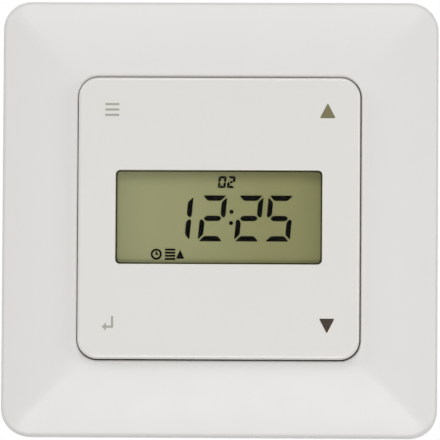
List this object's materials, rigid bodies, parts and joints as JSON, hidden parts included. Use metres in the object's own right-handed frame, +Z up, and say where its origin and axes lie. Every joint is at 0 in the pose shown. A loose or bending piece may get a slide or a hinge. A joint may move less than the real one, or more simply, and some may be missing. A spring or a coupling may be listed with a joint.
{
  "type": "shutter timer switch",
  "caption": "Square flush-mounted shutter timer switch: crowned white frame, centre plate with a segment display and corner press points, on a plug-in insert with claws.",
  "frame": {"origin": "middle of the four screw slots, on the wall's surface", "axes": "+Z up, +X to the right as seen from the room, -Y out of the wall to the room"},
  "size_m": [0.085, 0.0386, 0.085],
  "materials": {
    "frame_white": "satin white thermoplastic, finely textured",
    "plate_white": "satin white thermoplastic",
    "lens_clear": "clear polished acrylic",
    "lcd_glass": "olive-grey reflective display cell",
    "reflector_foil": "brushed reflective film",
    "elastomer": "striped conductive silicone",
    "guide_white": "natural white moulding",
    "switch_black": "moulded",
    "key_pin_white": "moulded",
    "board_green": "solder-masked glass fibre board",
    "component_silver": "tinned",
    "chip_black": "moulded",
    "plug_black": "moulded",
    "contact_gold": "gold-flashed",
    "contact_brass": "bright",
    "tray_grey": "moulded",
    "ring_zinc": "zinc-plated, punched",
    "screw_zinc": "yellow-passivated zinc",
    "claw_zinc": "zinc-plated, bent",
    "lid_grey": "moulded",
    "housing_grey": "moulded",
    "relay_blue": "moulded",
    "film_yellow": "resin-cast",
    "sleeve_black": "shrunk sleeve",
    "varistor_blue": "dipped",
    "fuse_brown": "moulded",
    "terminal_white": "moulded",
    "release_orange": "moulded"
  },
  "bodies": {
    "insert": {"support_ring": "ring_zinc", "ring_screws": "screw_zinc", "insert_lid": "lid_grey", "insert_housing": "housing_grey", "socket_block": "plug_black", "socket_pins": "contact_gold", "power_board": "board_green", "relay_up": "relay_blue", "relay_down": "relay_blue", "film_capacitor": "film_yellow", "reservoir_capacitor": "sleeve_black", "varistor": "varistor_blue", "fuse": "fuse_brown", "contact_blades": "contact_brass", "claw_pin_right": "claw_zinc", "claw_pin_left": "claw_zinc", "terminal_live": "terminal_white", "terminal_neutral": "terminal_white", "terminal_up": "terminal_white", "terminal_down": "terminal_white", "terminal_extension": "terminal_white"},
    "frame": {"cover_frame": "frame_white"},
    "unit": {"cover_plate": "plate_white", "window_lens": "lens_clear", "lcd_panel": "lcd_glass", "lcd_reflector": "reflector_foil", "contact_strip_upper": "elastomer", "contact_strip_lower": "elastomer", "key_guide": "guide_white", "display_board": "board_green", "reserve_capacitor": "component_silver", "quartz_crystal": "component_silver", "controller_chip": "chip_black", "plug_header": "plug_black", "plug_pins": "contact_gold", "rear_tray": "tray_grey", "guide_legs": "tray_grey", "switch_case_menu": "switch_black", "switch_case_enter": "switch_black", "switch_case_up": "switch_black", "switch_case_down": "switch_black"},
    "key_menu": {"key_plunger_menu": "key_pin_white", "switch_stem_menu": "key_pin_white"},
    "key_enter": {"key_plunger_enter": "key_pin_white", "switch_stem_enter": "key_pin_white"},
    "key_up": {"key_plunger_up": "key_pin_white", "switch_stem_up": "key_pin_white"},
    "key_down": {"key_plunger_down": "key_pin_white", "switch_stem_down": "key_pin_white"},
    "claw_right": {"claw_right": "claw_zinc"},
    "claw_screw_right": {"claw_screw_right": "screw_zinc"},
    "claw_left": {"claw_left": "claw_zinc"},
    "claw_screw_left": {"claw_screw_left": "screw_zinc"},
    "release_live": {"release_key_live": "release_orange"},
    "release_neutral": {"release_key_neutral": "release_orange"},
    "release_up": {"release_key_up": "release_orange"},
    "release_down": {"release_key_down": "release_orange"},
    "release_extension": {"release_key_extension": "release_orange"}
  },
  "joints": [
    {"name": "frame_lift", "type": "slide", "parent": "insert", "child": "frame", "axis": [0, -1, 0], "range_m": [0, 0.025]},
    {"name": "unit_pull", "type": "slide", "parent": "frame", "child": "unit", "axis": [0, -1, 0], "range_m": [0, 0.025]},
    {"name": "key_menu_press", "type": "slide", "parent": "unit", "child": "key_menu", "axis": [0, 1, 0], "range_m": [0, 0.00035], "stiffness_N_per_m": 1000, "springref_m": -0.0012},
    {"name": "key_enter_press", "type": "slide", "parent": "unit", "child": "key_enter", "axis": [0, 1, 0], "range_m": [0, 0.00035], "stiffness_N_per_m": 1000, "springref_m": -0.0012},
    {"name": "key_up_press", "type": "slide", "parent": "unit", "child": "key_up", "axis": [0, 1, 0], "range_m": [0, 0.00035], "stiffness_N_per_m": 1000, "springref_m": -0.0012},
    {"name": "key_down_press", "type": "slide", "parent": "unit", "child": "key_down", "axis": [0, 1, 0], "range_m": [0, 0.00035], "stiffness_N_per_m": 1000, "springref_m": -0.0012},
    {"name": "claw_screw_right_turn", "type": "hinge", "parent": "insert", "child": "claw_screw_right", "pos_m": [0.02245, 0, 0], "axis": [0, 1, 0], "range_deg": [0, 1440]},
    {"name": "claw_right_swing", "type": "hinge", "parent": "insert", "child": "claw_right", "pos_m": [0.0192, 0.005, 0], "axis": [0, 0, -1], "range_deg": [0, 30]},
    {"name": "claw_screw_left_turn", "type": "hinge", "parent": "insert", "child": "claw_screw_left", "pos_m": [-0.02245, 0, 0], "axis": [0, 1, 0], "range_deg": [0, 1440]},
    {"name": "claw_left_swing", "type": "hinge", "parent": "insert", "child": "claw_left", "pos_m": [-0.0192, 0.005, 0], "axis": [0, 0, 1], "range_deg": [0, 30]},
    {"name": "release_live_press", "type": "slide", "parent": "insert", "child": "release_live", "axis": [0, -1, 0], "range_m": [0, 0.0012], "stiffness_N_per_m": 2000, "springref_m": -0.0003},
    {"name": "release_neutral_press", "type": "slide", "parent": "insert", "child": "release_neutral", "axis": [0, -1, 0], "range_m": [0, 0.0012], "stiffness_N_per_m": 2000, "springref_m": -0.0003},
    {"name": "release_up_press", "type": "slide", "parent": "insert", "child": "release_up", "axis": [0, -1, 0], "range_m": [0, 0.0012], "stiffness_N_per_m": 2000, "springref_m": -0.0003},
    {"name": "release_down_press", "type": "slide", "parent": "insert", "child": "release_down", "axis": [0, -1, 0], "range_m": [0, 0.0012], "stiffness_N_per_m": 2000, "springref_m": -0.0003},
    {"name": "release_extension_press", "type": "slide", "parent": "insert", "child": "release_extension", "axis": [0, -1, 0], "range_m": [0, 0.0012], "stiffness_N_per_m": 2000, "springref_m": -0.0003}
  ],
  "couplings": [
    {"joint": "claw_right_swing", "follows": "claw_screw_right_turn", "ratio": 0.020833},
    {"joint": "claw_left_swing", "follows": "claw_screw_left_turn", "ratio": 0.020833}
  ]
}
